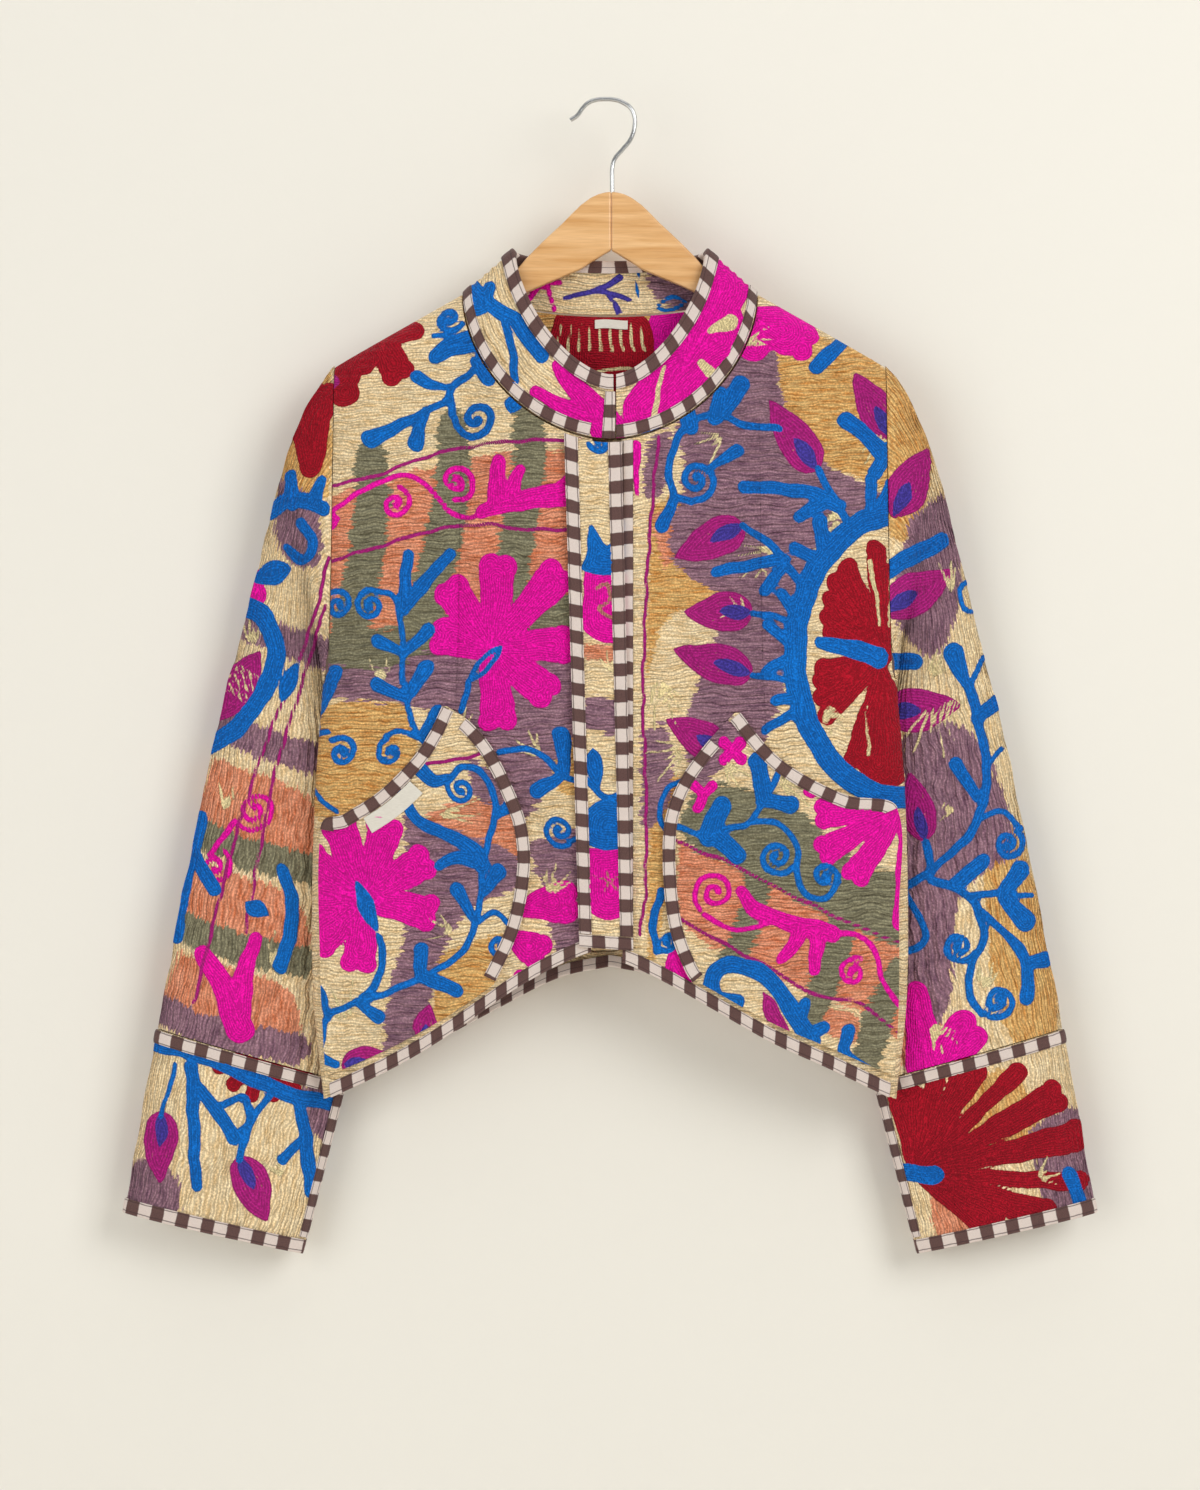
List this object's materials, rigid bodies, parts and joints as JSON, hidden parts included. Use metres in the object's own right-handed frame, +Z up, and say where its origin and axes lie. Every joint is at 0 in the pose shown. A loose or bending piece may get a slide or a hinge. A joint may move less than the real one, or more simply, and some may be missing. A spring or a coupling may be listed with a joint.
{
  "type": "quilted jacket on a wooden hanger",
  "caption": "Cropped hand-quilted cotton jacket with band collar, placket, curved hem, two patch pockets and deep slit cuffs, hung on a wooden hanger with a wire hook",
  "frame": {"origin": "the inner top of the hanger's hook, where the rail or peg bears; the garment's centre line is 4 mm beside it", "axes": "+Z up, the jacket's front faces -Y, +X to the wearer's left"},
  "size_m": [0.7736, 0.0872, 0.9142],
  "materials": {
    "quilted_cotton": "hand-quilted, matt",
    "binding_tape": "woven, matt",
    "label_cloth": "woven, matt",
    "beech": "clear satin lacquer",
    "hook_steel": "bright plated"
  },
  "bodies": {
    "root": {"front_right": "quilted_cotton", "front_left": "quilted_cotton", "back": "quilted_cotton", "collar": "quilted_cotton", "sleeve_right": "quilted_cotton", "cuff_right": "quilted_cotton", "sleeve_left": "quilted_cotton", "cuff_left": "quilted_cotton", "placket": "quilted_cotton", "pocket_right": "quilted_cotton", "pocket_left": "quilted_cotton", "hem_tape_right": "binding_tape", "hem_tape_left": "binding_tape", "hem_tape_back": "binding_tape", "shoulder_tape_right": "binding_tape", "shoulder_tape_left": "binding_tape", "collar_top_tape": "binding_tape", "collar_seam_tape": "binding_tape", "collar_end_tape": "binding_tape", "front_edge_tape": "binding_tape", "placket_tape_right": "binding_tape", "placket_tape_left": "binding_tape", "placket_tape_foot": "binding_tape", "pocket_opening_tape_right": "binding_tape", "pocket_inner_tape_right": "binding_tape", "pocket_opening_tape_left": "binding_tape", "pocket_inner_tape_left": "binding_tape", "cuff_top_tape_right": "binding_tape", "cuff_hem_tape_right": "binding_tape", "cuff_slit_back_tape_right": "binding_tape", "cuff_slit_front_tape_right": "binding_tape", "cuff_top_tape_left": "binding_tape", "cuff_hem_tape_left": "binding_tape", "cuff_slit_back_tape_left": "binding_tape", "cuff_slit_front_tape_left": "binding_tape", "neck_label": "label_cloth", "pocket_label": "label_cloth", "hanger_arm_right": "beech", "hanger_arm_left": "beech", "hook": "hook_steel"}
  },
  "joints": []
}
